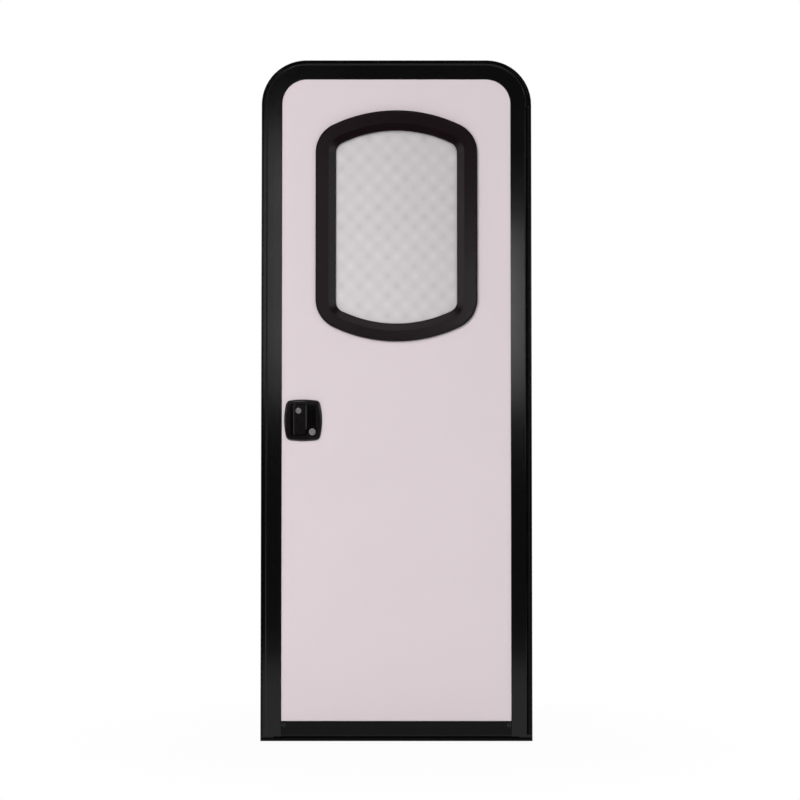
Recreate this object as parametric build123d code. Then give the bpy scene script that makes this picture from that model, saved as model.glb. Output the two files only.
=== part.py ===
from build123d import *
import os

# Caravan entry door: a leaf with a window and a paddle lock, hung in an aluminium frame.
# Millimetres. +X is the viewer's right from outside, +Y goes into the caravan, +Z is up.
# The origin is the bottom middle of the frame's flange, on the face that lies on the wall.

# Outer frame
frame_width = 702.0
frame_height = 1766.0
frame_corner = 116.0
flange_width = 33.5
flange_thickness = 3.0
lip_width = 4.5
lip_height = 6.0
lip_bevel = 1.5
tunnel_wall = 2.5
tunnel_depth = 42.0

# Sill between the frame's legs
sill_nose = 8.0
tread_rib_width = 2.5
tread_rib_height = 1.2
tread_rib_pitch = 6.0
tread_rib_count = 3

# Screw holes in the flange, behind the leaf's overlap
screw_radius = 2.4
screw_inset = 20.0
leg_screw_first = 90.0
leg_screw_pitch = 240.0
cross_screw_pitch = 200.0
cross_screw_count = 3

# Weather seal on the flange
seal_inset = 27.0
seal_width = 4.5
seal_bevel = 1.6
seal_gap = 0.3
seal_rib_width = 1.0
seal_rib_height = 2.0

# Leaf: inset of its edges from the frame's outer edges, and its edge section
latch_inset = 12.0
hinge_inset = 12.8
head_inset = 9.6
sill_inset = 13.2
leaf_corner = 106.0
face_width = 42.0
rail_width = 39.2
edge_round = 5.0
face_bevel = 0.8
leaf_wall = 2.5
leaf_reach = 16.0
return_depth = 5.0
rebate_gap = 9.5
rear_flange_width = 14.0
rear_flange_thickness = 2.0

# Sandwich panel
panel_thickness = 29.4
skin_thickness = 1.2

# Long hinge
strip_thickness = 1.2
strip_clearance = 0.3
barrel_radius = 2.5
hinge_setback = 1.0
pin_radius = 1.5
pin_clearance = 0.05
pin_overrun = 2.0
hinge_lift = 4.0
knuckle_pitch = 65.0
knuckle_gap = 0.6
tab_bite = 1.0
tab_reach = 1.0

# Window
window_width = 420.0
window_height = 602.0
window_head_inset = 133.0
window_corner = 80.5
window_end_radius = 380.0
ring_width = 53.0
ring_bottom_trim = 6.0
ring_height = 12.0
ring_outer_round = 5.0
ring_slope_width = 19.0
ring_slope_drop = 6.0
ring_edge_bevel = 1.5
ring_lip = 9.5
spigot_wall = 4.0
spigot_depth = 13.5
hole_inset = 35.0
hole_clearance = 2.0
pane_clearance = 1.0
pane_thickness = 5.0
glazing_thickness = 3.0
glazing_setback = 1.0
inner_ring_height = 8.0
inner_ring_bevel = 3.0
inner_spigot_wall = 5.0

# Lock: place of its centre and its bezel
lock_inset = 109.5
lock_z = 827.0
bezel_width = 98.4
bezel_height = 108.2
bezel_side_radius = 185.0
bezel_end_radius = 231.0
bezel_corner = 13.0
bezel_thickness = 6.5
bezel_round = 4.5
tub_wall = 2.0
pocket_depth = 15.5
pocket_corner = 4.0

# Paddle handle, measured from the lock's centre
paddle_left = -26.6
paddle_width = 39.2
paddle_bottom = -36.7
paddle_height = 75.3
paddle_corner = 5.0
paddle_thickness = 8.0
paddle_proud = 2.0
paddle_pivot_round = 4.0
paddle_free_round = 7.5
paddle_clearance = 3.0
pivot_slot = 6.0
finger_width = 20.5
finger_height = 54.0
pivot_inset = 4.1
pivot_setback = 5.0
pivot_radius = 1.6
pivot_socket = 4.0

# Key cylinders
key_x = -12.2
key_z = 24.8
key_radius = 6.95
deadkey_x = 24.0
deadkey_z = -30.2
deadkey_radius = 8.85
deadkey_length = 12.0
boss_radius = 15.0
boss_proud = 2.0
boss_bevel = 0.6
dish_rim = 1.5
dish_depth = 2.5
cylinder_clearance = 0.3
cylinder_proud = 0.8
keyway_width = 1.6
keyway_length = 9.0
keyway_depth = 3.0

# Lock case, bolts and strike
case_reach = 40.0
case_height = 90.0
case_clearance = 0.5
cutout_margin = 2.0
bolt_thickness = 10.0
bolt_length = 26.0
bolt_setback = 2.0
bolt_clearance = 0.3
bolt_bevel = 6.5
latch_z = 12.0
latch_height = 18.0
deadbolt_height = 20.0
faceplate_thickness = 1.5
faceplate_height = 112.0
faceplate_margin = 2.5
strike_clearance = 1.0
strike_margin = 6.0

# Inner lock furniture
inner_plate_thickness = 4.5
inner_plate_bevel = 2.0
lever_hub_radius = 12.0
lever_hub_length = 8.0
lever_length = 66.0
lever_width = 16.0
lever_thickness = 9.0
lever_end_round = 7.2
lever_bevel = 2.0
spindle_radius = 5.0
turn_base_radius = 13.0
turn_base_thickness = 3.0
turn_wing_length = 24.0
turn_wing_width = 7.0
turn_wing_height = 12.0
turn_wing_round = 3.2
turn_bevel = 1.5

# Depths, from outside (negative) to inside (positive)
flange_front = -flange_thickness
lip_front = flange_front - lip_height
plate_front = -leaf_reach
plate_back = plate_front + leaf_wall
return_back = plate_back + return_depth
core_front = plate_back + skin_thickness
panel_back = plate_back + panel_thickness
core_back = panel_back - skin_thickness
rear_flange_back = panel_back + rear_flange_thickness
ring_front = plate_back - ring_height
pane_front = ring_front + ring_lip + glazing_thickness
pane_back = pane_front + pane_thickness
bezel_front = plate_back - bezel_thickness
pocket_floor = bezel_front + pocket_depth
case_front = pocket_floor + tub_wall
paddle_front = bezel_front - paddle_proud
paddle_back = paddle_front + paddle_thickness
bolt_back = core_back - bolt_setback
bolt_front = bolt_back - bolt_thickness

# Front-view edges
half_width = frame_width / 2
leg_top = frame_height - frame_corner
leg_screw_count = int((leg_top - leg_screw_first) // leg_screw_pitch) + 1
leaf_left = latch_inset - half_width
leaf_right = half_width - hinge_inset
leaf_top = frame_height - head_inset
web_inset = flange_width + rebate_gap
panel_inset = web_inset + leaf_wall
panel_left = panel_inset - half_width
lock_x = lock_inset - half_width
faceplate_left = web_inset - half_width - faceplate_thickness
hinge_x = leaf_right + strip_thickness + strip_clearance + barrel_radius
hinge_y = plate_front + hinge_setback
hinge_bottom = sill_inset + hinge_lift
knuckle_count = int((leg_top - hinge_bottom) // knuckle_pitch)
window_z = frame_height - window_head_inset - window_height / 2
paddle_right = paddle_left + paddle_width
paddle_top = paddle_bottom + paddle_height
pivot_x = lock_x + paddle_left + pivot_inset
pivot_y = paddle_front + pivot_setback
spigot_outer = hole_inset + hole_clearance
spigot_inner = spigot_outer + spigot_wall
pane_inset = spigot_inner + pane_clearance

# How far a cutting shape runs past what it cuts, in outlines and through thin plates
outline_past = 50.0
plate_past = 1.0


def block(x0, x1, y0, y1, z0, z1):
    """Box between two corners."""
    return Pos((x0 + x1) / 2, (y0 + y1) / 2, (z0 + z1) / 2) * Box(x1 - x0, y1 - y0, z1 - z0)


def slab(outline, y_back, y_front):
    """Solid of a front-view outline between two depths, y_front being nearer the outside."""
    return extrude(Plane.XZ.offset(-y_back) * outline, y_back - y_front)


def arch(left, right, bottom, top, corner):
    """Front-view outline with square bottom corners and round top corners."""
    outline = Pos((left + right) / 2, (bottom + top) / 2) * Rectangle(right - left, top - bottom)
    return fillet(outline.vertices().group_by(Axis.Y)[-1], corner)


def frame_arch(inset, bottom):
    """The frame's outline drawn in by an inset, with its bottom edge at a given height."""
    return arch(inset - half_width, half_width - inset, bottom, frame_height - inset, frame_corner - inset)


def frame_hoop(outer, inner, bottom):
    """Legs and head between two insets of the frame's outline, open at the bottom."""
    return frame_arch(outer, bottom) - frame_arch(inner, bottom - outline_past)


def leaf_arch(inset, bottom):
    """The leaf's outline drawn in by an inset, with its bottom edge at a given height."""
    return arch(leaf_left + inset, leaf_right - inset, bottom, leaf_top - inset, leaf_corner - inset)


def front_edges(solid):
    """Edges of a solid's outermost flat face."""
    return solid.faces().sort_by(Axis.Y)[0].edges()


def back_edges(solid):
    """Edges of a solid's innermost flat face."""
    return solid.faces().sort_by(Axis.Y)[-1].edges()


def rod(x, z, radius, y_back, y_front):
    """Round bar along Y."""
    return slab(Pos(x, z) * Circle(radius), y_back, y_front)


def screw_holes():
    """Screw holes through the flange: up both legs, along the head and along the sill."""
    leg_x = half_width - screw_inset
    leg_z = [leg_screw_first + i * leg_screw_pitch for i in range(leg_screw_count)]
    cross_x = [(i - (cross_screw_count - 1) / 2) * cross_screw_pitch for i in range(cross_screw_count)]
    places = [(x, z) for z in leg_z for x in (-leg_x, leg_x)]
    places += [(x, z) for x in cross_x for z in (screw_inset, frame_height - screw_inset)]
    return [rod(x, z, screw_radius, flange_thickness, -2 * flange_thickness) for x, z in places]


def bolt_passage(x0, x1, clearance):
    """Room for both lock bolts between two X positions."""
    rows = [(latch_z, latch_height), (deadkey_z, deadbolt_height)]
    return [
        block(
            x0,
            x1,
            bolt_front - clearance,
            bolt_back + clearance,
            lock_z + z - height / 2 - clearance,
            lock_z + z + height / 2 + clearance,
        )
        for z, height in rows
    ]


# Outer frame


def jamb_hoop():
    """Bent frame section: flange on the wall, raised lip, ribs for the seal, wall of the doorway."""
    lip = slab(frame_hoop(0, lip_width, 0), flange_front, lip_front)
    lip = chamfer(front_edges(lip), lip_bevel)
    flange = slab(frame_hoop(0, flange_width, 0), 0, flange_front)
    tunnel_inset = flange_width - tunnel_wall
    tunnel = slab(frame_hoop(tunnel_inset, flange_width, tunnel_inset), tunnel_depth, 0)
    outer_rib = slab(
        frame_hoop(seal_inset - seal_rib_width, seal_inset, sill_nose),
        flange_front,
        flange_front - seal_rib_height,
    )
    seal_inner = seal_inset + seal_width
    inner_rib = slab(
        frame_hoop(seal_inner, seal_inner + seal_rib_width, seal_inner),
        flange_front,
        flange_front - seal_rib_height,
    )
    hoop = flange + lip + tunnel + outer_rib + inner_rib
    strike_slots = bolt_passage(-half_width, flange_width - half_width + tunnel_wall, strike_clearance)
    return hoop - screw_holes() - strike_slots


def sill():
    """Threshold between the legs: flange, nose, ribs for the seal and a ribbed tread."""
    opening = half_width - flange_width
    nose_end = half_width - lip_width
    nose = block(-nose_end, nose_end, lip_front, flange_front, 0, sill_nose)
    nose = chamfer(nose.edges().filter_by(Axis.X).sort_by(Axis.Y)[:2], lip_bevel)
    flange = block(-opening, opening, flange_front, 0, 0, flange_width)
    tread = block(-opening, opening, 0, tunnel_depth, flange_width - tunnel_wall, flange_width)
    ribs = []
    for i in range(tread_rib_count):
        rib_back = tunnel_depth - i * tread_rib_pitch - tread_rib_width
        rib_top = flange_width + tread_rib_height
        ribs.append(
            block(-opening, opening, rib_back - tread_rib_width, rib_back, flange_width, rib_top)
        )
    rib_front = flange_front - seal_rib_height
    for rib_bottom in (seal_inset - seal_rib_width, seal_inset + seal_width):
        rib_top = rib_bottom + seal_rib_width
        ribs.append(block(-opening, opening, rib_front, flange_front, rib_bottom, rib_top))
    return flange + nose + tread + ribs - screw_holes()


def jamb_seal():
    """Rubber bulb all round the flange that the closed leaf presses on."""
    inner = seal_inset + seal_width
    outline = frame_arch(seal_inset, seal_inset) - frame_arch(inner, inner)
    seal = slab(outline, flange_front, plate_back + seal_gap)
    return chamfer(front_edges(seal), seal_bevel)


def strike_plate():
    """Steel plate on the latch-side wall of the doorway, with a slot for each bolt."""
    face = flange_width - half_width
    plate = block(
        face,
        face + faceplate_thickness,
        bolt_front - faceplate_margin,
        bolt_back + strike_margin,
        lock_z - faceplate_height / 2,
        lock_z + faceplate_height / 2,
    )
    return plate - bolt_passage(face - plate_past, face + faceplate_thickness + plate_past, strike_clearance)


# Leaf


def leaf_hoop():
    """Bent edge section of the leaf: face with a round outer edge, its return, web and rear flange."""
    below = sill_inset - outline_past
    face = slab(leaf_arch(0, sill_inset), return_back, plate_front)
    face = fillet(front_edges(face).sort_by(Axis.Z)[1:], edge_round)
    hollow = slab(leaf_arch(leaf_wall, below), return_back + plate_past, plate_back)
    hollow = fillet(front_edges(hollow).sort_by(Axis.Z)[1:], edge_round - leaf_wall)
    opening = leaf_arch(face_width, below)
    face = face - hollow - slab(opening, plate_back, plate_front)
    inside = opening.bounding_box()
    inner_edges = front_edges(face).filter_by_position(Axis.X, inside.min.X, inside.max.X)
    inner_edges = inner_edges.filter_by_position(Axis.Z, below, leaf_top - face_width)
    face = chamfer(inner_edges, face_bevel)
    web = slab(frame_hoop(web_inset, panel_inset, web_inset), rear_flange_back, plate_back)
    rear = slab(
        frame_hoop(web_inset, web_inset + rear_flange_width, web_inset), rear_flange_back, panel_back
    )
    hoop = face + web + rear
    return hoop - bolt_passage(faceplate_left, panel_left + plate_past, bolt_clearance)


def leaf_bottom_rail():
    """Straight length of the same section, butted between the stiles."""
    left = leaf_left + face_width
    right = leaf_right - face_width
    top = sill_inset + rail_width
    face = block(left, right, plate_front, return_back, sill_inset, top)
    face = fillet(front_edges(face).sort_by(Axis.Z)[0], edge_round)
    hollow = block(left, right, plate_back, return_back, sill_inset + leaf_wall, top)
    hollow = fillet(front_edges(hollow).sort_by(Axis.Z)[0], edge_round - leaf_wall)
    face = face - hollow
    face = chamfer(front_edges(face).sort_by(Axis.Z)[-1], face_bevel)
    web_end = half_width - panel_inset
    web = block(-web_end, web_end, plate_back, panel_back, web_inset, panel_inset)
    rear_end = half_width - web_inset - rear_flange_width
    rear = block(
        -rear_end, rear_end, panel_back, rear_flange_back, web_inset, web_inset + rear_flange_width
    )
    return face + web + rear


def panel_outline():
    """Outline of the sandwich panel inside the edge section."""
    return frame_arch(panel_inset, panel_inset)


def lock_cutout():
    """Hole in the outer skin for the lock's tub."""
    left = paddle_left - pivot_slot - tub_wall - cutout_margin
    right = paddle_right + finger_width + tub_wall + cutout_margin
    bottom = paddle_bottom - paddle_clearance - tub_wall - cutout_margin
    top = paddle_top + paddle_clearance + tub_wall + cutout_margin
    outline = Pos((left + right) / 2, (bottom + top) / 2) * Rectangle(right - left, top - bottom)
    return Pos(lock_x, lock_z) * outline


def outer_skin():
    """Pale outer sheet of the panel."""
    outline = panel_outline() - window_outline(hole_inset) - lock_cutout()
    return slab(outline, core_front, plate_back)


def panel_core():
    """Foam core with the window's hole, the tub's hole and the pocket of the lock case."""
    core = slab(panel_outline() - window_outline(hole_inset), core_back, core_front)
    tub_hole = slab(lock_cutout(), case_front, core_front)
    case_hole = block(
        panel_left,
        lock_x + case_reach + case_clearance,
        case_front,
        core_back,
        lock_z - case_height / 2 - case_clearance,
        lock_z + case_height / 2 + case_clearance,
    )
    return core - tub_hole - case_hole


def inner_skin():
    """Inner sheet of the panel, with holes for the lock's spindles."""
    skin = slab(panel_outline() - window_outline(hole_inset), panel_back, core_back)
    return skin - spindle_holes()


# Window


def window_outline(inset):
    """Window shape, straight sides and bowed ends, drawn in by an inset from the ring's outer edge.

    Inner outlines reach lower by the trim, because the ring is narrower along its bottom."""
    side = window_width / 2 - inset
    top = window_height / 2 - inset
    bottom = top + (ring_bottom_trim if inset > 0 else 0)
    radius = window_end_radius - inset
    lens = Pos(0, top - radius) * Circle(radius) & Pos(0, radius - bottom) * Circle(radius)
    outline = lens & Rectangle(2 * side, 2 * bottom)
    return Pos(0, window_z) * fillet(outline.vertices(), window_corner - inset)


def window_band(outer, inner):
    """Ring between two insets of the window shape."""
    return window_outline(outer) - window_outline(inner)


def window_outer_ring():
    """Moulded outer ring: flat face sloping in to the pane, foot on the skin, spigot through the panel."""
    face = slab(window_band(0, ring_width), ring_front + ring_lip, ring_front)
    flat = face.faces().sort_by(Axis.Y)[0]
    face = chamfer(flat.inner_wires()[0].edges(), ring_slope_width, ring_slope_drop, reference=flat)
    slope_foot = ring_front + ring_slope_drop
    near = ring_slope_drop / 10
    inner_edge = face.edges().filter_by_position(Axis.Y, slope_foot - near, slope_foot + near)
    face = chamfer(inner_edge, ring_edge_bevel)
    flat = face.faces().sort_by(Axis.Y)[0]
    face = fillet(flat.outer_wire().edges(), ring_outer_round)
    foot = slab(window_band(0, spigot_inner), plate_back, ring_front + ring_lip)
    spigot = slab(window_band(spigot_outer, spigot_inner), plate_back + spigot_depth, plate_back)
    return face + foot + spigot


def window_glazing_seal():
    """Rubber between the outer ring's lip and the pane."""
    return slab(window_band(pane_inset, ring_width - glazing_setback), pane_front, ring_front + ring_lip)


def window_pane():
    """Obscure acrylic pane, a loose fit inside the outer ring's spigot."""
    return slab(window_outline(pane_inset), pane_back, pane_front)


def window_inner_ring():
    """Clamp ring on the inner skin, with a spigot that holds the pane from behind."""
    face = slab(window_band(0, ring_width), panel_back + inner_ring_height, panel_back)
    face = chamfer(back_edges(face), inner_ring_bevel)
    outer = pane_inset + pane_clearance
    spigot = slab(window_band(outer, outer + inner_spigot_wall), panel_back, pane_back)
    return face + spigot


# Long hinge on the viewer's right


def knuckle(index):
    """One knuckle of the hinge, counted from the bottom."""
    z = hinge_bottom + (index + 0.5) * knuckle_pitch
    return Pos(hinge_x, hinge_y, z) * Cylinder(barrel_radius, knuckle_pitch - knuckle_gap)


def knuckle_tab(index, x0, x1, y0, y1):
    """Web that ties one knuckle to its strip."""
    z = hinge_bottom + index * knuckle_pitch
    return block(x0, x1, y0, y1, z + knuckle_gap / 2, z + knuckle_pitch - knuckle_gap / 2)


def hinge_bore():
    """Hole for the pin through all knuckles."""
    length = knuckle_count * knuckle_pitch
    bore = Cylinder(pin_radius + pin_clearance, length)
    return Pos(hinge_x, hinge_y, hinge_bottom + length / 2) * bore


def hinge_strip(x0, x1, y0, y1):
    """Flat strip that carries knuckles over the hinge's whole length."""
    return block(x0, x1, y0, y1, hinge_bottom, hinge_bottom + knuckle_count * knuckle_pitch)


def hinge_jamb_strip():
    """Frame's half of the hinge, on the inner side of the lip, with every other knuckle."""
    outer = half_width - lip_width
    strip = hinge_strip(outer - strip_thickness, outer, lip_front, flange_front)
    for i in range(0, knuckle_count, 2):
        tab = knuckle_tab(i, hinge_x + tab_reach, outer, hinge_y + tab_bite, lip_front)
        strip += knuckle(i) + tab
    return strip - hinge_bore()


def hinge_leaf_strip():
    """Leaf's half of the hinge, on the flat of the leaf's return, with the other knuckles."""
    strip = hinge_strip(leaf_right, leaf_right + strip_thickness, plate_front + edge_round, return_back)
    for i in range(1, knuckle_count, 2):
        tab = knuckle_tab(i, leaf_right, hinge_x - tab_reach, hinge_y + tab_bite, return_back)
        strip += knuckle(i) + tab
    return strip - hinge_bore()


def hinge_pin():
    """One steel pin through all knuckles."""
    length = knuckle_count * knuckle_pitch
    return Pos(hinge_x, hinge_y, hinge_bottom + length / 2) * Cylinder(
        pin_radius, length + 2 * pin_overrun
    )


# Lock, outside


def bezel_outline():
    """Cushion outline of the lock's plates, bowed on all four sides."""
    end_centre = bezel_end_radius - bezel_height / 2
    side_centre = bezel_side_radius - bezel_width / 2
    turned = Rot(0, 0, 90)
    lens = Pos(0, -end_centre) * Circle(bezel_end_radius) & Pos(0, end_centre) * Circle(bezel_end_radius)
    lens = lens & Pos(-side_centre, 0) * turned * Circle(bezel_side_radius)
    lens = lens & Pos(side_centre, 0) * turned * Circle(bezel_side_radius)
    return Pos(lock_x, lock_z) * fillet(lens.vertices(), bezel_corner)


def rounded(left, right, bottom, top, corner):
    """Rounded rectangle between four edges."""
    outline = RectangleRounded(right - left, top - bottom, corner)
    return Pos((left + right) / 2, (bottom + top) / 2) * outline


def pocket_outline(grow):
    """Paddle's pocket with the finger recess beside it, grown by a wall, around the deadbolt's boss."""
    paddle_room = rounded(
        paddle_left - pivot_slot - grow,
        paddle_right + paddle_clearance + grow,
        paddle_bottom - paddle_clearance - grow,
        paddle_top + paddle_clearance + grow,
        pocket_corner + grow,
    )
    finger_room = rounded(
        paddle_left + paddle_width / 2,
        paddle_right + finger_width + grow,
        paddle_top - finger_height - grow,
        paddle_top + grow,
        pocket_corner + grow,
    )
    boss = Pos(deadkey_x, deadkey_z) * Circle(boss_radius - grow)
    return Pos(lock_x, lock_z) * (paddle_room + finger_room - boss)


def lock_bezel():
    """Moulded plate with the paddle's tub and the deadbolt's round, dished boss."""
    plate = slab(bezel_outline(), plate_back, bezel_front)
    plate = fillet(front_edges(plate), bezel_round)
    tub = slab(pocket_outline(tub_wall), case_front, plate_back)
    boss_x = lock_x + deadkey_x
    boss_z = lock_z + deadkey_z
    boss_front = bezel_front - boss_proud
    boss = rod(boss_x, boss_z, boss_radius, plate_back, boss_front)
    boss = chamfer(front_edges(boss), boss_bevel)
    boss -= rod(boss_x, boss_z, boss_radius - dish_rim, boss_front + dish_depth, boss_front)
    pocket = slab(pocket_outline(0), pocket_floor, bezel_front)
    boss_room = rod(boss_x, boss_z, boss_radius, plate_back, bezel_front)
    bore = rod(boss_x, boss_z, deadkey_radius + cylinder_clearance, plate_back, boss_front)
    plate = plate + tub - pocket - boss_room
    return plate + boss - bore - pivot_rod(pivot_radius + pin_clearance)


def pivot_rod(radius):
    """Upright rod on the paddle's axis, let into the bezel above and below the pocket."""
    length = paddle_height + 2 * (paddle_clearance + pivot_socket)
    z = lock_z + paddle_bottom + paddle_height / 2
    return Pos(pivot_x, pivot_y, z) * Cylinder(radius, length)


def handle_pivot_pin():
    """Steel pin that the paddle turns on."""
    return pivot_rod(pivot_radius)


def paddle_bar():
    """Upright bar of the paddle's plan section, rounded at its pivot edge and more at its free edge."""
    plan = Pos((paddle_left + paddle_right) / 2, (paddle_front + paddle_back) / 2) * Rectangle(
        paddle_width, paddle_thickness
    )
    pivot_corner, free_corner = plan.vertices().group_by(Axis.Y)[0].sort_by(Axis.X)
    plan = fillet(pivot_corner, paddle_pivot_round)
    free_corner = plan.vertices().sort_by_distance(free_corner)[0]
    plan = fillet(free_corner, paddle_free_round)
    return extrude(Pos(lock_x, 0, lock_z + paddle_bottom) * plan, paddle_height)


def paddle_handle():
    """Pull paddle with a scallop round the boss, a bore for its pin and one for its key cylinder."""
    outline = rounded(paddle_left, paddle_right, paddle_bottom, paddle_top, paddle_corner)
    outline -= Pos(deadkey_x, deadkey_z) * Circle(boss_radius + paddle_clearance)
    paddle = slab(Pos(lock_x, lock_z) * outline, paddle_back, paddle_front) & paddle_bar()
    bore = rod(
        lock_x + key_x, lock_z + key_z, key_radius + cylinder_clearance, paddle_back, paddle_front
    )
    return paddle - bore - pivot_rod(pivot_radius + pin_clearance)


def key_cylinder(x, z, radius, y_back, y_front):
    """Lock cylinder with a keyway in its face."""
    body = rod(lock_x + x, lock_z + z, radius, y_back, y_front)
    keyway = block(
        lock_x + x - keyway_width / 2,
        lock_x + x + keyway_width / 2,
        y_front,
        y_front + keyway_depth,
        lock_z + z - keyway_length / 2,
        lock_z + z + keyway_length / 2,
    )
    return body - keyway


def handle_cylinder():
    """Key cylinder in the paddle, which turns with it."""
    return key_cylinder(key_x, key_z, key_radius, paddle_back, paddle_front - cylinder_proud)


def deadbolt_cylinder():
    """Key cylinder in the boss, which works the deadbolt."""
    front = bezel_front - boss_proud - cylinder_proud
    return key_cylinder(deadkey_x, deadkey_z, deadkey_radius, front + deadkey_length, front)


# Lock, in the leaf's edge and inside


def lock_case():
    """Case in the panel behind the tub, with a socket for each bolt."""
    case = block(
        panel_left,
        lock_x + case_reach,
        case_front,
        core_back,
        lock_z - case_height / 2,
        lock_z + case_height / 2,
    )
    return case - bolt_passage(panel_left, faceplate_left + bolt_length + bolt_clearance, bolt_clearance)


def bolt_faceplate():
    """Steel plate on the leaf's edge that the two bolts come out of."""
    plate = block(
        faceplate_left,
        faceplate_left + faceplate_thickness,
        bolt_front - faceplate_margin,
        bolt_back + faceplate_margin,
        lock_z - faceplate_height / 2,
        lock_z + faceplate_height / 2,
    )
    left = faceplate_left - plate_past
    right = faceplate_left + faceplate_thickness + plate_past
    return plate - bolt_passage(left, right, bolt_clearance)


def latch_bolt():
    """Spring bolt, drawn in, bevelled on the side that meets the strike first."""
    bolt = bolt_passage(faceplate_left, faceplate_left + bolt_length, 0)[0]
    nose = bolt.edges().filter_by(Axis.Z).group_by(Axis.X)[0].sort_by(Axis.Y)[-1]
    return chamfer(nose, bolt_bevel)


def deadbolt():
    """Square bolt, drawn in."""
    return bolt_passage(faceplate_left, faceplate_left + bolt_length, 0)[1]


def spindle_holes():
    """Holes for the lever's and the thumb-turn's spindles through the inner plate and skin."""
    radius = spindle_radius + cylinder_clearance
    back = panel_back + inner_plate_thickness
    lever_hole = rod(lock_x, lock_z + latch_z, radius, back, core_back)
    turn_hole = rod(lock_x + deadkey_x, lock_z + deadkey_z, radius, back, core_back)
    return [lever_hole, turn_hole]


def lock_inner_plate():
    """Inner plate of the lock, of the bezel's outline."""
    plate = slab(bezel_outline(), panel_back + inner_plate_thickness, panel_back)
    plate = chamfer(back_edges(plate), inner_plate_bevel)
    return plate - spindle_holes()


def inner_lever():
    """Lever that draws the latch from inside."""
    x = lock_x
    z = lock_z + latch_z
    seat = panel_back + inner_plate_thickness
    hub = rod(x, z, lever_hub_radius, seat + lever_hub_length, seat)
    spindle = rod(x, z, spindle_radius, seat, core_back)
    arm_outline = rounded(
        -lever_width / 2, lever_length, -lever_width / 2, lever_width / 2, lever_end_round
    )
    arm_front = seat + lever_hub_length
    arm = slab(Pos(x, z) * arm_outline, arm_front + lever_thickness, arm_front)
    arm = chamfer(back_edges(arm), lever_bevel)
    return hub + spindle + arm


def deadbolt_thumbturn():
    """Small wing that throws the deadbolt from inside."""
    x = lock_x + deadkey_x
    z = lock_z + deadkey_z
    seat = panel_back + inner_plate_thickness
    base = rod(x, z, turn_base_radius, seat + turn_base_thickness, seat)
    spindle = rod(x, z, spindle_radius, seat, core_back)
    wing_front = seat + turn_base_thickness
    wing_outline = RectangleRounded(turn_wing_width, turn_wing_length, turn_wing_round)
    wing = slab(Pos(x, z) * wing_outline, wing_front + turn_wing_height, wing_front)
    wing = chamfer(back_edges(wing), turn_bevel)
    return base + spindle + wing


pieces = [
    jamb_hoop,
    sill,
    jamb_seal,
    strike_plate,
    hinge_jamb_strip,
    hinge_pin,
    leaf_hoop,
    leaf_bottom_rail,
    outer_skin,
    panel_core,
    inner_skin,
    hinge_leaf_strip,
    window_outer_ring,
    window_glazing_seal,
    window_pane,
    window_inner_ring,
    lock_bezel,
    lock_case,
    bolt_faceplate,
    latch_bolt,
    deadbolt,
    handle_pivot_pin,
    lock_inner_plate,
    inner_lever,
    deadbolt_thumbturn,
    paddle_handle,
    handle_cylinder,
    deadbolt_cylinder,
]

os.makedirs("parts", exist_ok=True)
for make in pieces:
    export_step(make(), f"parts/{make.__name__}.step")
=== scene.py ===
import math

import bmesh
import bpy
from mathutils import Matrix, Vector


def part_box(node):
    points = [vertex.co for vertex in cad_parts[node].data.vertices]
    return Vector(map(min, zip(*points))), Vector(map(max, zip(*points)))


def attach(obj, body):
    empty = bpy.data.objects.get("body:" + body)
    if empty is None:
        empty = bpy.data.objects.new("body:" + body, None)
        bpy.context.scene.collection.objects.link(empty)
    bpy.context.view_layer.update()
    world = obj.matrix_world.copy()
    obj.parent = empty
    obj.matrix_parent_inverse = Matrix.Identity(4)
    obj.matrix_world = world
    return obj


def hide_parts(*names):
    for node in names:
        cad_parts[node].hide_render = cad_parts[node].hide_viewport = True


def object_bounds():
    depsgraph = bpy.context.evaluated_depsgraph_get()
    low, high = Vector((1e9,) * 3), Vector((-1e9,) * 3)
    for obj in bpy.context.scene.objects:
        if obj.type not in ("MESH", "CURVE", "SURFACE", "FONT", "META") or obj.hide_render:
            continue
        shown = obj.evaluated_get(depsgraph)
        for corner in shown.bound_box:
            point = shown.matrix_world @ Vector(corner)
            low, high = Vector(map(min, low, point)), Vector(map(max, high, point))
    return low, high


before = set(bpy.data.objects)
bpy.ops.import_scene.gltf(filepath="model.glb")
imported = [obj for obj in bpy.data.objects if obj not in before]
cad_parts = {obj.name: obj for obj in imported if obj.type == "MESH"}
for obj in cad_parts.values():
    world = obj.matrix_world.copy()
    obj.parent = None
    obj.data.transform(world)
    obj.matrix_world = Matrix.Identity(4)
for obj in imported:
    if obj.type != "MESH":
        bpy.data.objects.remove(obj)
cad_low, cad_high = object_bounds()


# Outer frame: legs and head bent from one extruded aluminium section, closed by a straight sill.
# Satin black powder coat, sprayed and baked, so the skin is finely pebbled, and the long die lines
# of the extrusion still show through it faintly along the section. The trodden sill has a dull coat.

MM = 0.001
FRAME_CORNER = 116 * MM


def linear(colour):
    """Linear RGBA of an sRGB hex colour."""
    parts = [int(colour[i : i + 2], 16) / 255 for i in (1, 3, 5)]
    return [c / 12.92 if c <= 0.04045 else ((c + 0.055) / 1.055) ** 2.4 for c in parts] + [1]


def add_node(tree, kind, inputs=None, **settings):
    """A node of a kind with its settings, and with its inputs set to values or linked to other nodes."""
    node = tree.nodes.new(kind)
    for name, value in settings.items():
        setattr(node, name, value)
    for key, value in (inputs or {}).items():
        if isinstance(value, bpy.types.Node):
            value = value.outputs[0]
        if isinstance(value, bpy.types.NodeSocket):
            tree.links.new(value, node.inputs[key])
        else:
            node.inputs[key].default_value = value
    return node


def start_material(name):
    """A new material's empty node tree, and its object coordinates."""
    material = bpy.data.materials.new(name)
    material.use_nodes = True
    material.node_tree.nodes.clear()
    place = add_node(material.node_tree, "ShaderNodeTexCoord").outputs["Object"]
    return material, material.node_tree, place


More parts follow.
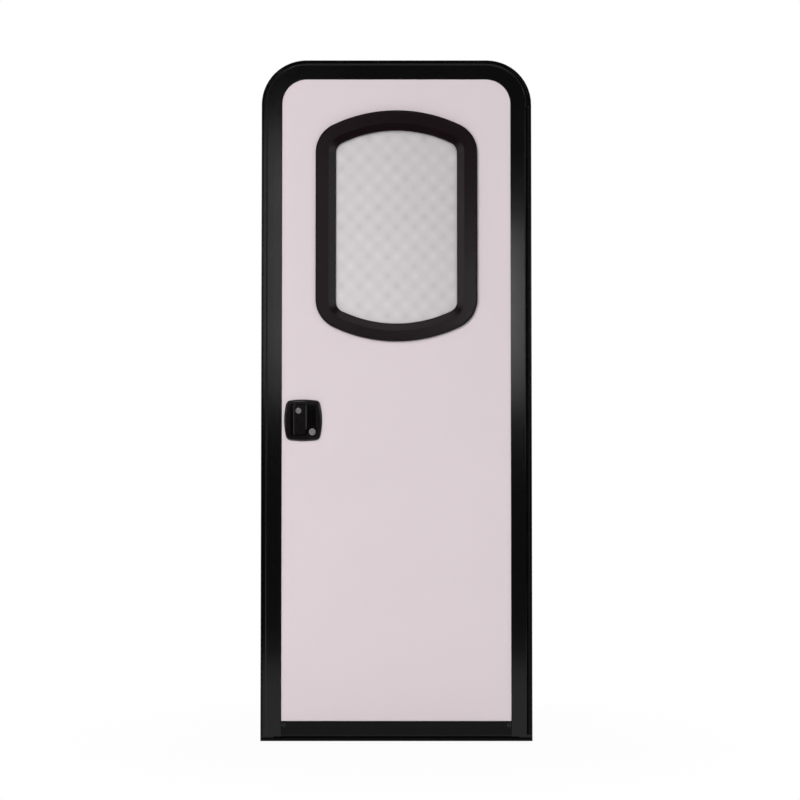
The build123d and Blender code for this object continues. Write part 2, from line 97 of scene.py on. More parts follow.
def end_material(tree, **sockets):
    """The surface shader with its sockets, by their names with _ for a space, and the output."""
    named = {key.replace("_", " "): value for key, value in sockets.items()}
    shader = add_node(tree, "ShaderNodeBsdfPrincipled", named)
    add_node(tree, "ShaderNodeOutputMaterial", {"Surface": shader})


def coat_nodes(material, *nodes):
    """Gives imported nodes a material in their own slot."""
    for node in nodes:
        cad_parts[node].material_slots[0].material = material


def along_section(tree, place):
    """Distance across the bent section, the same all the way round its legs and head."""
    corner_x = cad_high.x - FRAME_CORNER
    corner_z = cad_high.z - FRAME_CORNER
    axes = add_node(tree, "ShaderNodeSeparateXYZ", {0: place})
    side = add_node(tree, "ShaderNodeMath", {0: axes.outputs["X"]}, operation="ABSOLUTE")
    side = add_node(tree, "ShaderNodeMath", {0: side, 1: corner_x}, operation="SUBTRACT")
    side = add_node(tree, "ShaderNodeMath", {0: side, 1: 0.0}, operation="MAXIMUM")
    rise = add_node(tree, "ShaderNodeMath", {0: axes.outputs["Z"], 1: corner_z}, operation="SUBTRACT")
    rise = add_node(tree, "ShaderNodeMath", {0: rise, 1: 0.0}, operation="MAXIMUM")
    both = add_node(tree, "ShaderNodeCombineXYZ", {"X": side, "Z": rise})
    return add_node(tree, "ShaderNodeVectorMath", {0: both}, operation="LENGTH").outputs["Value"]


def powder_coated_aluminium(name, roughness, sheen):
    """Black powder coat. The eye sees a soft broad sheen, a fine pebble and faint die lines."""
    pebble = 2.5 * MM  # drawn coarser than the real 0.3 mm, so that it shows
    die_line = 3.5 * MM
    smudge = 140 * MM
    smudge_swing = 0.03
    streak_swing = 0.02
    material, tree, place = start_material(name)
    clouds = add_node(tree, "ShaderNodeTexNoise", {"Vector": place, "Scale": 1 / smudge, "Detail": 3.0})
    lines = add_node(
        tree,
        "ShaderNodeTexNoise",
        {"W": along_section(tree, place), "Scale": 1 / die_line, "Detail": 2.0},
        noise_dimensions="1D",
    )
    grain = add_node(tree, "ShaderNodeTexNoise", {"Vector": place, "Scale": 1 / pebble, "Detail": 2.0})
    colour = add_node(
        tree,
        "ShaderNodeMix",
        {0: clouds, 6: linear("#070707"), 7: linear("#0b0a0b")},
        data_type="RGBA",
    )
    satin = add_node(
        tree,
        "ShaderNodeMapRange",
        {"Value": clouds, "To Min": roughness - smudge_swing, "To Max": roughness + smudge_swing},
    )
    streak = add_node(
        tree,
        "ShaderNodeMapRange",
        {"Value": lines, "To Min": -streak_swing, "To Max": streak_swing},
    )
    rough = add_node(tree, "ShaderNodeMath", {0: satin, 1: streak}, operation="ADD")
    ridges = add_node(
        tree, "ShaderNodeBump", {"Height": lines, "Strength": 0.12, "Distance": 0.1 * MM}
    )
    skin = add_node(
        tree,
        "ShaderNodeBump",
        {"Height": grain, "Strength": 0.15, "Distance": 0.1 * MM, "Normal": ridges},
    )
    end_material(
        tree, Base_Color=colour.outputs[2], Roughness=rough, Normal=skin, Specular_IOR_Level=sheen
    )
    return material


# Half the usual reflection or less, because the coat's matting grains scatter the rest
black_coat = powder_coated_aluminium("satin_black_powder_coat", 0.14, 0.25)
dull_coat = powder_coated_aluminium("dull_black_powder_coat", 0.5, 0.08)
coat_nodes(black_coat, "jamb_hoop")
coat_nodes(dull_coat, "sill")


# Weather seal: one EPDM bulb pressed between the flange's two ribs, all round the doorway.
# Extruded rubber is dull and slightly dusty, with a fine grain.


def extruded_rubber(name):
    """Black EPDM. The eye sees almost no sheen, and a grey bloom in patches."""
    bloom = 45 * MM
    grain = 1.5 * MM
    material, tree, place = start_material(name)
    patches = add_node(tree, "ShaderNodeTexNoise", {"Vector": place, "Scale": 1 / bloom, "Detail": 4.0})
    fine = add_node(tree, "ShaderNodeTexNoise", {"Vector": place, "Scale": 1 / grain})
    colour = add_node(
        tree,
        "ShaderNodeMix",
        {0: patches, 6: linear("#070707"), 7: linear("#111111")},
        data_type="RGBA",
    )
    rough = add_node(tree, "ShaderNodeMapRange", {"Value": patches, "To Min": 0.65, "To Max": 0.85})
    skin = add_node(tree, "ShaderNodeBump", {"Height": fine, "Strength": 0.2, "Distance": 0.1 * MM})
    end_material(tree, Base_Color=colour.outputs[2], Roughness=rough, Normal=skin)
    return material


black_rubber = extruded_rubber("black_epdm_rubber")
coat_nodes(black_rubber, "jamb_seal")


# Strike plate: stamped from zinc-plated steel strip and held to the doorway's wall by two screws.
# The plating is a cool grey with fine rolling marks along the strip.


def rolled_steel(name, light, dark, roughness):
    """Plated steel strip. The eye sees a grey metal with long fine rolling marks and small dull spots."""
    mark = 0.8 * MM
    spot = 12 * MM
    stretch = 25
    mark_swing = 0.08
    material, tree, place = start_material(name)
    drawn = add_node(
        tree, "ShaderNodeMapping", {"Vector": place, "Scale": (1 / mark, 1 / mark, 1 / mark / stretch)}
    )
    marks = add_node(tree, "ShaderNodeTexNoise", {"Vector": drawn, "Scale": 1.0, "Detail": 3.0})
    spots = add_node(tree, "ShaderNodeTexNoise", {"Vector": place, "Scale": 1 / spot, "Detail": 4.0})
    colour = add_node(
        tree,
        "ShaderNodeMix",
        {0: spots, 6: linear(dark), 7: linear(light)},
        data_type="RGBA",
    )
    rough = add_node(
        tree,
        "ShaderNodeMapRange",
        {"Value": marks, "To Min": roughness - mark_swing, "To Max": roughness + mark_swing},
    )
    skin = add_node(tree, "ShaderNodeBump", {"Height": marks, "Strength": 0.1, "Distance": 0.05 * MM})
    end_material(tree, Base_Color=colour.outputs[2], Metallic=1.0, Roughness=rough, Normal=skin)
    return material


zinc_steel = rolled_steel("zinc_plated_steel", "#b9bab8", "#95968f", 0.34)
coat_nodes(zinc_steel, "strike_plate")


def cross_head(radius, height):
    """One screw head on its seat at z 0, facing +Z: a low dome with a cross recess."""
    recess_cells = 3
    recess_reach = 0.5 * radius
    recess_depth = 0.6 * height
    dome_reach = 0.72 * radius
    rim_level = 0.45 * height
    head = bmesh.new()
    bmesh.ops.create_grid(head, x_segments=recess_cells, y_segments=recess_cells, size=recess_reach)
    corners = [
        face
        for face in head.faces
        if min(abs(face.calc_center_median().x), abs(face.calc_center_median().y)) > recess_reach / 2
    ]
    bmesh.ops.delete(head, geom=corners, context="FACES")
    cross = list(head.faces)
    rim_of_cross = [edge for edge in head.edges if edge.is_boundary]
    rim = bmesh.ops.create_circle(head, segments=len(rim_of_cross), radius=dome_reach)
    rim_edges = list(dict.fromkeys(edge for vert in rim["verts"] for edge in vert.link_edges))
    bmesh.ops.bridge_loops(head, edges=rim_of_cross + rim_edges)
    bmesh.ops.translate(head, verts=head.verts, vec=(0, 0, height))
    for level in (rim_level, 0.0):
        skirt = bmesh.ops.extrude_edge_only(head, edges=rim_edges)["geom"]
        verts = [item for item in skirt if isinstance(item, bmesh.types.BMVert)]
        rim_edges = [item for item in skirt if isinstance(item, bmesh.types.BMEdge)]
        for vert in verts:
            flat = Vector((vert.co.x, vert.co.y, 0)).normalized() * radius
            vert.co = (flat.x, flat.y, level)
    sunk = bmesh.ops.extrude_face_region(head, geom=cross)["geom"]
    floor_verts = [item for item in sunk if isinstance(item, bmesh.types.BMVert)]
    bmesh.ops.translate(head, verts=floor_verts, vec=(0, 0, -recess_depth))
    bmesh.ops.delete(head, geom=cross, context="FACES_ONLY")
    bmesh.ops.recalc_face_normals(head, faces=head.faces)
    return head


def screw_heads(name, places, outward, radius, height, material, body):
    """Screw heads on their seats, joined in one piece that rides on a body."""
    joined = bmesh.new()
    turn = Vector(outward).to_track_quat("Z", "Y").to_matrix().to_4x4()
    for place in places:
        one = cross_head(radius, height)
        one.transform(Matrix.Translation(place) @ turn)
        step = bpy.data.meshes.new(name)
        one.to_mesh(step)
        joined.from_mesh(step)
        bpy.data.meshes.remove(step)
        one.free()
    mesh = bpy.data.meshes.new(name)
    joined.to_mesh(mesh)
    joined.free()
    mesh.materials.append(material)
    piece = bpy.data.objects.new(name, mesh)
    bpy.context.scene.collection.objects.link(piece)
    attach(piece, body)


strike_low, strike_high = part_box("strike_plate")
strike_mid = (strike_low + strike_high) / 2
strike_screw_inset = 8 * MM
screw_heads(
    "strike_screws",
    [
        (strike_high.x, strike_mid.y, strike_low.z + strike_screw_inset),
        (strike_high.x, strike_mid.y, strike_high.z - strike_screw_inset),
    ],
    outward=(1, 0, 0),
    radius=3.2 * MM,
    height=1.2 * MM,
    material=zinc_steel,
    body="frame",
)


# Long hinge: two rolled aluminium strips with alternating knuckles on one steel pin.
# The strips have the sill's dull powder coat, and the pin is drawn bar, chemically blackened.

coat_nodes(dull_coat, "hinge_jamb_strip", "hinge_leaf_strip")
black_steel = rolled_steel("black_oxide_steel", "#4a4a4b", "#303031", 0.36)
coat_nodes(black_steel, "hinge_pin")


# Leaf's edge section: stiles and head bent from one extrusion that laps over the frame, with a
# straight bottom rail butted between the stiles and screwed to them at both ends. Shoes knock the rail,
# so its coat is duller than the stiles'.

coat_nodes(black_coat, "leaf_hoop")
worn_coat = powder_coated_aluminium("worn_black_powder_coat", 0.3, 0.12)
coat_nodes(worn_coat, "leaf_bottom_rail")
rail_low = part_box("leaf_bottom_rail")[0]
leaf_low, leaf_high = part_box("leaf_hoop")
face_width = 42 * MM
rail_width = 39.2 * MM
rail_screw_inset = 6 * MM
rail_screw_drop = 9 * MM
rail_screw_z = rail_low.z + rail_width - rail_screw_drop
screw_heads(
    "rail_screws",
    [
        (leaf_low.x + face_width + rail_screw_inset, rail_low.y, rail_screw_z),
        (leaf_high.x - face_width - rail_screw_inset, rail_low.y, rail_screw_z),
    ],
    outward=(0, -1, 0),
    radius=5.2 * MM,
    height=1.6 * MM,
    material=black_steel,
    body="leaf",
)


# Sandwich panel: a pale coated outer sheet and inner sheet bonded to a rigid foam core.
# The roller-applied coat is smooth to the hand, with a shallow orange peel and very even colour.


def coated_sheet(name, light, dark):
    """Coated sheet. The eye sees a flat pale colour, a low sheen and a faint long-wave peel."""
    peel = 7 * MM
    drift = 260 * MM
    material, tree, place = start_material(name)
    wash = add_node(tree, "ShaderNodeTexNoise", {"Vector": place, "Scale": 1 / drift, "Detail": 2.0})
    waves = add_node(tree, "ShaderNodeTexNoise", {"Vector": place, "Scale": 1 / peel, "Detail": 1.0})
    colour = add_node(
        tree,
        "ShaderNodeMix",
        {0: wash, 6: linear(dark), 7: linear(light)},
        data_type="RGBA",
    )
    rough = add_node(tree, "ShaderNodeMapRange", {"Value": wash, "To Min": 0.40, "To Max": 0.50})
    skin = add_node(tree, "ShaderNodeBump", {"Height": waves, "Strength": 0.05, "Distance": 0.2 * MM})
    end_material(tree, Base_Color=colour.outputs[2], Roughness=rough, Normal=skin)
    return material


def rigid_foam(name):
    """Cut polyurethane foam. The eye sees matt cream with tiny open cells."""
    cell = 1.2 * MM
    material, tree, place = start_material(name)
    cells = add_node(tree, "ShaderNodeTexVoronoi", {"Vector": place, "Scale": 1 / cell})
    colour = add_node(
        tree,
        "ShaderNodeMix",
        {0: cells, 6: linear("#cfc39a"), 7: linear("#e9e0bd")},
        data_type="RGBA",
    )
    skin = add_node(tree, "ShaderNodeBump", {"Height": cells, "Strength": 0.4, "Distance": 0.3 * MM})
    end_material(tree, Base_Color=colour.outputs[2], Roughness=0.9, Normal=skin)
    return material


coat_nodes(coated_sheet("pale_coated_sheet", "#ddd1d5", "#d9cdd1"), "outer_skin", "inner_skin")
coat_nodes(rigid_foam("rigid_polyurethane_foam"), "panel_core")


# Window rings: an outer and an inner ring moulded in black ABS, clamped through the panel by screws
# from inside. The mould's fine spark texture leaves a dull satin skin with a slight reddish warmth.


def moulded_plastic(name, light, dark, roughness, sheen):
    """Textured black ABS. The eye sees a soft sheen broken up by an even fine grain."""
    grain = 1.8 * MM  # drawn coarser than the real 0.1 mm, so that it shows
    flow = 90 * MM
    flow_swing = 0.04
    material, tree, place = start_material(name)
    clouds = add_node(tree, "ShaderNodeTexNoise", {"Vector": place, "Scale": 1 / flow, "Detail": 3.0})
    spark = add_node(tree, "ShaderNodeTexNoise", {"Vector": place, "Scale": 1 / grain, "Detail": 2.0})
    colour = add_node(
        tree,
        "ShaderNodeMix",
        {0: clouds, 6: linear(dark), 7: linear(light)},
        data_type="RGBA",
    )
    rough = add_node(
        tree,
        "ShaderNodeMapRange",
        {"Value": clouds, "To Min": roughness - flow_swing, "To Max": roughness + flow_swing},
    )
    skin = add_node(tree, "ShaderNodeBump", {"Height": spark, "Strength": 0.2, "Distance": 0.1 * MM})
    end_material(
        tree, Base_Color=colour.outputs[2], Roughness=rough, Normal=skin, Specular_IOR_Level=sheen
    )
    return material


ring_plastic = moulded_plastic("black_moulded_abs", "#170d11", "#110a0d", 0.22, 0.17)
coat_nodes(ring_plastic, "window_outer_ring", "window_inner_ring")
coat_nodes(black_rubber, "window_glazing_seal")

ring_low, ring_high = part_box("window_inner_ring")
ring_mid = (ring_low + ring_high) / 2
ring_screw_inset = 22 * MM
side_screw_pitch = 110 * MM
end_screw_pitch = 95 * MM
ring_end_radius = 380 * MM
ring_screw_x = (ring_high.x - ring_low.x) / 2 - ring_screw_inset
ring_places = []
for row in (-1.5, -0.5, 0.5, 1.5):
    for side in (-1, 1):
        row_z = ring_mid.z + row * side_screw_pitch
        ring_places.append((ring_mid.x + side * ring_screw_x, ring_high.y, row_z))
for column in (-1, 0, 1):
    for end in (-1, 1):
        across = column * end_screw_pitch
        bow = math.sqrt((ring_end_radius - ring_screw_inset) ** 2 - across**2)
        bow_centre = (ring_high.z - ring_low.z) / 2 - ring_end_radius
        ring_places.append((ring_mid.x + across, ring_high.y, ring_mid.z + end * (bow_centre + bow)))
screw_heads(
    "ring_screws",
    ring_places,
    outward=(0, 1, 0),
    radius=3.4 * MM,
    height=1.4 * MM,
    material=black_steel,
    body="leaf",
)


# Pane: cast acrylic, pressed on its inner side with rows of shallow dimples so that nobody sees in.
# The sheet scatters light like opal glass. Its colour greys towards the top and the hinge side, a painted
# shade gradient, and each dimple carries a painted dark dot of shade and each swell a painted light dot
# of highlight.

PRESS_PITCH = 48 * MM
PRESS_ROWS = 25.5 * MM
press_depth = 0.8 * MM
pane_low, pane_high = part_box("window_pane")
pane_mid = (pane_low + pane_high) / 2


def pressed_pane():
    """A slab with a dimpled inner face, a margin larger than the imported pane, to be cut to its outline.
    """
    margin = 4 * MM
    width = pane_high.x - pane_low.x + 2 * margin
    height = pane_high.z - pane_low.z + 2 * margin
    cell = 3 * MM
    mean_share = 0.55
    swing_share = 0.5
    slab = bmesh.new()
    upright = Matrix.Translation(pane_mid) @ Matrix.Rotation(math.radians(90), 4, "X")
    bmesh.ops.create_grid(
        slab,
        x_segments=round(width / cell),
        y_segments=round(height / cell),
        size=0.5,
        matrix=upright @ Matrix.Diagonal((width, height, 1, 1)),
    )
    front = bmesh.ops.extrude_face_region(slab, geom=slab.faces[:])["geom"]
    front = {item for item in front if isinstance(item, bmesh.types.BMVert)}
    for vert in slab.verts:
        if vert in front:
            vert.co.y = pane_low.y - margin
            continue
        across = math.cos(2 * math.pi * (vert.co.x - pane_mid.x) / PRESS_PITCH)
        up = math.cos(math.pi * (vert.co.z - pane_mid.z) / PRESS_ROWS)
        vert.co.y = pane_high.y - press_depth * (mean_share + swing_share * across * up)
    bmesh.ops.recalc_face_normals(slab, faces=slab.faces)
    mesh = bpy.data.meshes.new("obscure_pane")
    slab.to_mesh(mesh)
    slab.free()
    return mesh


def merged_copy(node, name):
    """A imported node's mesh with its loose triangles merged into one closed skin."""
    merge_distance = 0.001 * MM
    skin = bmesh.new()
    skin.from_mesh(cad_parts[node].data)
    bmesh.ops.remove_doubles(skin, verts=skin.verts, dist=merge_distance)
    mesh = bpy.data.meshes.new(name)
    skin.to_mesh(mesh)
    skin.free()
    return mesh


def pressed_acrylic(name):
    """Opal acrylic: pale grey with a low gloss, and rows of faint painted dots of shade and highlight,
    unevenly strong.
    """
    shade_direction = (1, 0, 0.5)
    uneven = 30 * MM
    patch_low = 0.35
    patch_high = 0.65
    material, tree, place = start_material(name)
    axes = add_node(tree, "ShaderNodeSeparateXYZ", {0: place})
    phase_x = 2 * math.pi / PRESS_PITCH
    phase_z = math.pi / PRESS_ROWS
    start_x = -pane_mid.x * phase_x
    start_z = -pane_mid.z * phase_z
    turn_x = add_node(
        tree, "ShaderNodeMath", {0: axes.outputs["X"], 1: phase_x, 2: start_x}, operation="MULTIPLY_ADD"
    )
    turn_z = add_node(
        tree, "ShaderNodeMath", {0: axes.outputs["Z"], 1: phase_z, 2: start_z}, operation="MULTIPLY_ADD"
    )
    across = add_node(tree, "ShaderNodeMath", {0: turn_x}, operation="COSINE")
    up = add_node(tree, "ShaderNodeMath", {0: turn_z}, operation="COSINE")
    dimple = add_node(tree, "ShaderNodeMath", {0: across, 1: up}, operation="MULTIPLY")
    # Painted shade: each dimple gets a darker dot. Painted highlight: each swell between gets a lighter
    # dot
    painted_pit_shade = add_node(
        tree,
        "ShaderNodeMapRange",
        {"Value": dimple},
        interpolation_type="SMOOTHSTEP",
    )
    painted_swell_highlight = add_node(
        tree,
        "ShaderNodeMapRange",
        {"Value": dimple, "From Max": -1.0},
        interpolation_type="SMOOTHSTEP",
    )
    patches = add_node(tree, "ShaderNodeTexNoise", {"Vector": place, "Scale": 1 / uneven, "Detail": 2.0})
    # Strength of the painted dots of shade and highlight, uneven across the sheet
    pit_shade_strength = add_node(
        tree,
        "ShaderNodeMapRange",
        {
            "Value": patches,
            "From Min": patch_low,
            "From Max": patch_high,
            "To Min": 0.03,
            "To Max": 0.20,
        },
    )
    swell_highlight_strength = add_node(
        tree,
        "ShaderNodeMapRange",
        {
            "Value": patches,
            "From Min": patch_low,
            "From Max": patch_high,
            "To Min": -0.16,
            "To Max": -0.03,
        },
    )
    # Painted shade: the colour greys steadily towards the top and the hinge side
    shade_run = add_node(tree, "ShaderNodeVectorMath", {0: place, 1: shade_direction}, operation="DOT_PRODUCT")
    painted_shade_drift = add_node(
        tree,
        "ShaderNodeMapRange",
        {
            "Value": shade_run.outputs["Value"],
            "From Min": pane_low.dot(Vector(shade_direction)),
            "From Max": pane_high.dot(Vector(shade_direction)),
            "To Min": 0.26,
            "To Max": 0.66,
        },
    )
    # The painted shade drift and the painted dots of shade and highlight, summed into one grey
    grey = add_node(tree, "ShaderNodeMath", {0: painted_pit_shade, 1: pit_shade_strength, 2: painted_shade_drift}, operation="MULTIPLY_ADD")
    grey = add_node(tree, "ShaderNodeMath", {0: painted_swell_highlight, 1: swell_highlight_strength, 2: grey}, operation="MULTIPLY_ADD")
    colour = add_node(
        tree,
        "ShaderNodeMix",
        {0: grey, 6: linear("#efebec"), 7: linear("#b9b5b7")},
        data_type="RGBA",
    )
    end_material(
        tree,
        Base_Color=colour.outputs[2],
        Roughness=0.45,
        IOR=1.49,
        Transmission_Weight=0.5,
    )
    return material


pane = bpy.data.objects.new("obscure_pane", pressed_pane())
bpy.context.scene.collection.objects.link(pane)
outline = bpy.data.objects.new("pane_outline", merged_copy("window_pane", "pane_outline"))
bpy.context.scene.collection.objects.link(outline)
cut = pane.modifiers.new("outline", "BOOLEAN")
cut.operation = "INTERSECT"
cut.solver = "EXACT"
cut.object = outline
finished = bpy.data.meshes.new_from_object(pane.evaluated_get(bpy.context.evaluated_depsgraph_get()))
pane.modifiers.clear()
pane.data = finished
bpy.data.objects.remove(outline)
pane.data.materials.clear()
pane.data.materials.append(pressed_acrylic("opal_pressed_acrylic"))
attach(pane, "leaf")
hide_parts("window_pane")


# Lock, outside: a die-cast bezel with the paddle's tub and the deadbolt's dished boss, and the paddle on
# its steel pin. Castings are sprayed black, glossier than the rings. The tub's floor and the dish ring
# round the deadbolt are painted near-black, a painted shade for the shadow in those hollows.

bezel_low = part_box("lock_bezel")[0]
boss_low, boss_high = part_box("deadbolt_cylinder")
boss_mid = (boss_low + boss_high) / 2
# Reach of the painted shade in the deadbolt's dish and in the paddle's tub
dish_radius = 13.5 * MM
tub_depth = 9 * MM


def distance_from_axis(tree, place, centre):
    """Distance from a line that runs straight into the door through a centre."""
    local = add_node(
        tree, "ShaderNodeVectorMath", {0: place, 1: (centre.x, 0, centre.z)}, operation="SUBTRACT"
    )
    flat = add_node(tree, "ShaderNodeVectorMath", {0: local, 1: (1, 0, 1)}, operation="MULTIPLY")
    return add_node(tree, "ShaderNodeVectorMath", {0: flat}, operation="LENGTH").outputs["Value"]


def painted_casting(name):
    """Black sprayed zinc. The eye sees bright thin lines on the edges, soft peel and hollows darkened by
    painted shade.
    """
    peel = 5 * MM
    flow = 60 * MM
    soft = 0.5 * MM
    material, tree, place = start_material(name)
    clouds = add_node(tree, "ShaderNodeTexNoise", {"Vector": place, "Scale": 1 / flow, "Detail": 3.0})
    waves = add_node(tree, "ShaderNodeTexNoise", {"Vector": place, "Scale": 1 / peel, "Detail": 1.0})
    colour = add_node(
        tree,
        "ShaderNodeMix",
        {0: clouds, 6: linear("#0e0b0c"), 7: linear("#131011")},
        data_type="RGBA",
    )
    axes = add_node(tree, "ShaderNodeSeparateXYZ", {0: place})
    # Painted shade: the tub's floor and a ring of the dish round the deadbolt are mixed to near-black
    # #010101, in place of the shadow in these hollows
    floor_y = bezel_low.y + tub_depth
    tub_floor_shade = add_node(
        tree,
        "ShaderNodeMapRange",
        {"Value": axes.outputs["Y"], "From Min": floor_y - 4 * soft, "From Max": floor_y},
    )
    radius = distance_from_axis(tree, place, boss_mid)
    dish_ring_shade = add_node(
        tree,
        "ShaderNodeMapRange",
        {"Value": radius, "From Min": dish_radius, "From Max": dish_radius - soft},
    )
    painted_hollow_shade = add_node(tree, "ShaderNodeMath", {0: tub_floor_shade, 1: dish_ring_shade}, operation="MAXIMUM")
    # Mixes the painted hollow shade into the paint's colour
    shade = add_node(
        tree,
        "ShaderNodeMix",
        {0: painted_hollow_shade, 6: colour.outputs[2], 7: linear("#010101")},
        data_type="RGBA",
    )
    gloss = add_node(tree, "ShaderNodeMapRange", {"Value": clouds, "To Min": 0.04, "To Max": 0.06})
    skin = add_node(tree, "ShaderNodeBump", {"Height": waves, "Strength": 0.1, "Distance": 0.1 * MM})
    end_material(
        tree, Base_Color=shade.outputs[2], Roughness=gloss, Normal=skin, Specular_IOR_Level=0.5
    )
    return material


lock_paint = painted_casting("black_painted_zinc_casting")
coat_nodes(lock_paint, "lock_bezel", "paddle_handle")
coat_nodes(black_steel, "handle_pivot_pin")


# Key cylinders: turned brass, nickel-plated, with a keyway in each face. The plating has gone dull
# with handling, and the face keeps fine concentric turning marks.


def turned_nickel(name, centre):
    """Satin nickel on turned brass. The eye sees warm grey metal with rings round its own centre."""
    groove = 0.7 * MM
    dull = 4 * MM
    material, tree, place = start_material(name)
    radius = distance_from_axis(tree, place, centre)
    phase = add_node(tree, "ShaderNodeMath", {0: radius, 1: 2 * math.pi / groove}, operation="MULTIPLY")
    rings = add_node(tree, "ShaderNodeMath", {0: phase}, operation="SINE")
    spots = add_node(tree, "ShaderNodeTexNoise", {"Vector": place, "Scale": 1 / dull, "Detail": 3.0})
    colour = add_node(
        tree,
        "ShaderNodeMix",
        {0: spots, 6: linear("#9a9999"), 7: linear("#c0bfbf")},
        data_type="RGBA",
    )
    rough = add_node(tree, "ShaderNodeMapRange", {"Value": spots, "To Min": 0.28, "To Max": 0.42})
    skin = add_node(tree, "ShaderNodeBump", {"Height": rings, "Strength": 0.15, "Distance": 0.05 * MM})
    end_material(tree, Base_Color=colour.outputs[2], Metallic=1.0, Roughness=rough, Normal=skin)
    return material


for node in ("handle_cylinder", "deadbolt_cylinder"):
    key_low, key_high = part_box(node)
    coat_nodes(turned_nickel("satin_nickel_" + node, (key_low + key_high) / 2), node)


# Lock, in the leaf's edge: a steel case in the panel, its faceplate held by two screws, and the two
# bolts drawn in. All are zinc-plated pressings.

coat_nodes(zinc_steel, "lock_case", "bolt_faceplate", "latch_bolt", "deadbolt")
face_low, face_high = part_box("bolt_faceplate")
face_mid = (face_low + face_high) / 2
face_screw_inset = 8 * MM
screw_heads(
    "faceplate_screws",
    [
        (face_low.x, face_mid.y, face_low.z + face_screw_inset),
        (face_low.x, face_mid.y, face_high.z - face_screw_inset),
    ],
    outward=(-1, 0, 0),
    radius=3.0 * MM,
    height=0.8 * MM,
    material=zinc_steel,
    body="leaf",
)


# Lock, inside: a plate of the bezel's outline, the lever that draws the latch and the thumb-turn of the
# deadbolt, cast and painted a duller black than outside. Two screws clamp the plate to the bezel.

inside_paint = moulded_plastic("black_painted_inside_castings", "#0f0c0d", "#090708", 0.26, 0.25)
coat_nodes(inside_paint, "lock_inner_plate", "inner_lever", "deadbolt_thumbturn")
plate_low, plate_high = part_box("lock_inner_plate")
plate_mid = (plate_low + plate_high) / 2
plate_screw_x = 34 * MM
plate_screw_z = 40 * MM
screw_heads(
    "inner_plate_screws",
    [
        (plate_mid.x + plate_screw_x, plate_high.y, plate_mid.z + plate_screw_z),
        (plate_mid.x - plate_screw_x, plate_high.y, plate_mid.z - plate_screw_z),
    ],
    outward=(0, 1, 0),
    radius=3.4 * MM,
    height=1.4 * MM,
    material=black_steel,
    body="leaf",
)


# Studio: a plain pale floor under a white backdrop and a dim room behind the camera. The tall softbox on
# each side of the camera is polarised, so that it leaves no glare on gloss. Two cards beside the camera,
# a panel on each side and a softbox overhead give the sheen. The camera stands low and looks up a little.

PICTURE_CENTRE = Vector((9.2 * MM, 0, 880.2 * MM))
camera_distance = 5.0
camera_tilt = math.radians(1.8)
pixels_per_metre = 1 / (2.597 * MM)
image_width = 800

camera_data = bpy.data.cameras.new("camera")
camera_data.sensor_width = 36
camera_data.lens = camera_data.sensor_width * camera_distance * pixels_per_metre / image_width
camera = bpy.data.objects.new("camera", camera_data)
bpy.context.scene.collection.objects.link(camera)
sight = Vector((0, math.cos(camera_tilt), math.sin(camera_tilt)))
camera.location = PICTURE_CENTRE - camera_distance * sight
camera.rotation_euler = sight.to_track_quat("-Z", "Y").to_euler()
bpy.context.scene.camera = camera
bpy.context.scene.view_settings.view_transform = "Standard"


def is_any_ray(tree, *kinds):
    """1 for rays of these kinds, and 0 for others."""
    path = add_node(tree, "ShaderNodeLightPath")
    share = path.outputs[kinds[0]]
    for kind in kinds[1:]:
        share = add_node(tree, "ShaderNodeMath", {0: share, 1: path.outputs[kind]}, operation="MAXIMUM")
    return share


room_level = 0.05
world = bpy.data.worlds.new("white_studio")
bpy.context.scene.world = world
world.use_nodes = True
world.node_tree.nodes.clear()
sky = world.node_tree
direction = add_node(sky, "ShaderNodeTexCoord").outputs["Generated"]
facing = add_node(sky, "ShaderNodeSeparateXYZ", {0: direction})
backdrop = add_node(
    sky,
    "ShaderNodeMapRange",
    {"Value": facing.outputs["Y"], "From Min": -0.35, "From Max": 0.25, "To Min": room_level},
    interpolation_type="SMOOTHSTEP",
)
seen = is_any_ray(sky, "Is Camera Ray", "Is Transmission Ray")
level = add_node(sky, "ShaderNodeMath", {0: backdrop, 1: seen}, operation="MAXIMUM")
white = add_node(sky, "ShaderNodeBackground", {"Color": linear("#ffffff"), "Strength": level})
add_node(sky, "ShaderNodeOutputWorld", {"Surface": white})

floor_size = 24.0
floor_front = -2.0
floor_gap = 1 * MM
shadow_inner = 0.4
shadow_outer = 1.2
glow_in_shadow = 0.94
floor_mesh = bpy.data.meshes.new("floor")
ground = bmesh.new()
bmesh.ops.create_grid(ground, x_segments=1, y_segments=1, size=floor_size / 2)
bmesh.ops.translate(
    ground, verts=ground.verts, vec=(0, floor_front + floor_size / 2, cad_low.z - floor_gap)
)
ground.to_mesh(floor_mesh)
ground.free()
floor = bpy.data.objects.new("floor", floor_mesh)
bpy.context.scene.collection.objects.link(floor)
floor_paint = bpy.data.materials.new("pale_floor")
floor_paint.use_nodes = True
floor_paint.node_tree.nodes.clear()
paint = floor_paint.node_tree
matt = add_node(paint, "ShaderNodeBsdfDiffuse", {"Color": linear("#f2f2f2")})
glow = add_node(paint, "ShaderNodeEmission", {"Color": linear("#ffffff"), "Strength": 1.0})
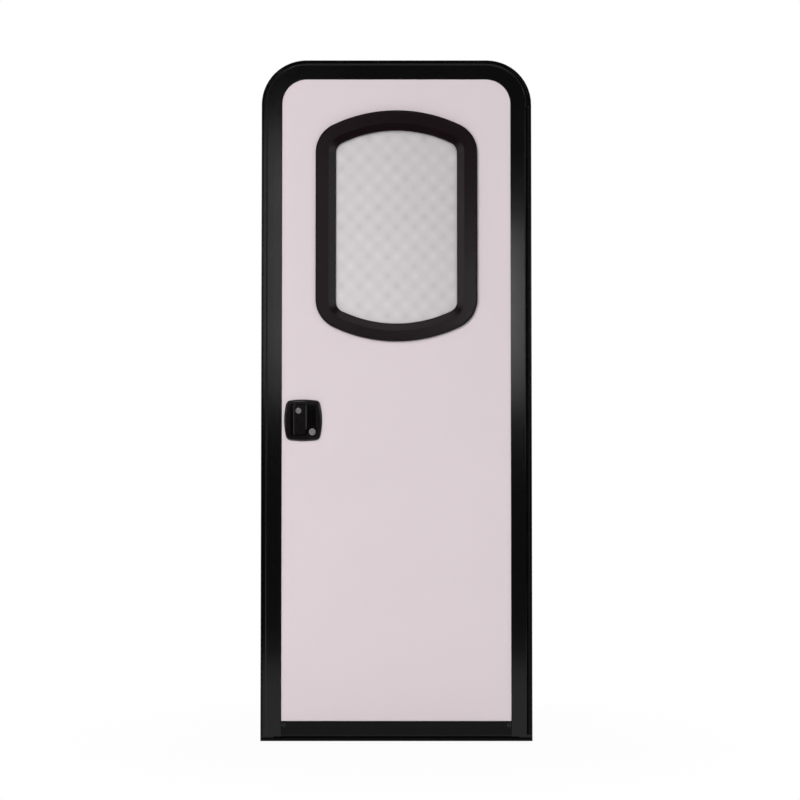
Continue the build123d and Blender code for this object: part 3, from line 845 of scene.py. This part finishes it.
seen = is_any_ray(paint, "Is Camera Ray", "Is Transmission Ray", "Is Glossy Ray")
place = add_node(paint, "ShaderNodeTexCoord").outputs["Object"]
away = add_node(paint, "ShaderNodeVectorMath", {0: place}, operation="LENGTH").outputs["Value"]
fade = add_node(
    paint,
    "ShaderNodeMapRange",
    {"Value": away, "From Min": shadow_inner, "From Max": shadow_outer, "To Min": glow_in_shadow},
    interpolation_type="SMOOTHSTEP",
)
share = add_node(paint, "ShaderNodeMath", {0: seen, 1: fade}, operation="MULTIPLY")
both = add_node(paint, "ShaderNodeMixShader", {0: share, 1: matt, 2: glow})
add_node(paint, "ShaderNodeOutputMaterial", {"Surface": both})
floor_mesh.materials.append(floor_paint)


def softbox(name, width, height, place, target, brightness, glare):
    """A rectangular lamp of even brightness that faces a point, with or without glare on gloss."""
    lamp = bpy.data.lights.new(name, "AREA")
    lamp.shape = "RECTANGLE"
    lamp.size = width
    lamp.size_y = height
    lamp.energy = brightness * math.pi * width * height
    holder = bpy.data.objects.new(name, lamp)
    holder.location = place
    holder.rotation_euler = (Vector(target) - Vector(place)).to_track_quat("-Z", "Y").to_euler()
    holder.visible_camera = False
    holder.visible_glossy = glare
    bpy.context.scene.collection.objects.link(holder)


softbox("left_softbox", 1.6, 2.4, (-1.6, -4.3, 2.1), PICTURE_CENTRE, 9.1, False)
softbox("right_softbox", 1.6, 2.4, (1.6, -4.3, 2.1), PICTURE_CENTRE, 1.15, False)
softbox("top_softbox", 3.0, 1.5, (0.0, -3.4, 4.0), PICTURE_CENTRE, 1.6, True)
softbox("left_card", 0.2, 1.36, (-0.57, -5.0, 1.75), (-0.32, 0, 1.22), 4.8, True)
softbox("right_card", 0.18, 0.84, (0.51, -5.0, 1.49), (0.32, 0, 1.12), 11.5, True)
softbox("left_panel", 1.0, 1.6, (-2.2, -3.15, 1.5), PICTURE_CENTRE, 2.4, True)
softbox("right_panel", 1.0, 1.6, (2.2, -3.15, 1.5), PICTURE_CENTRE, 2.3, True)
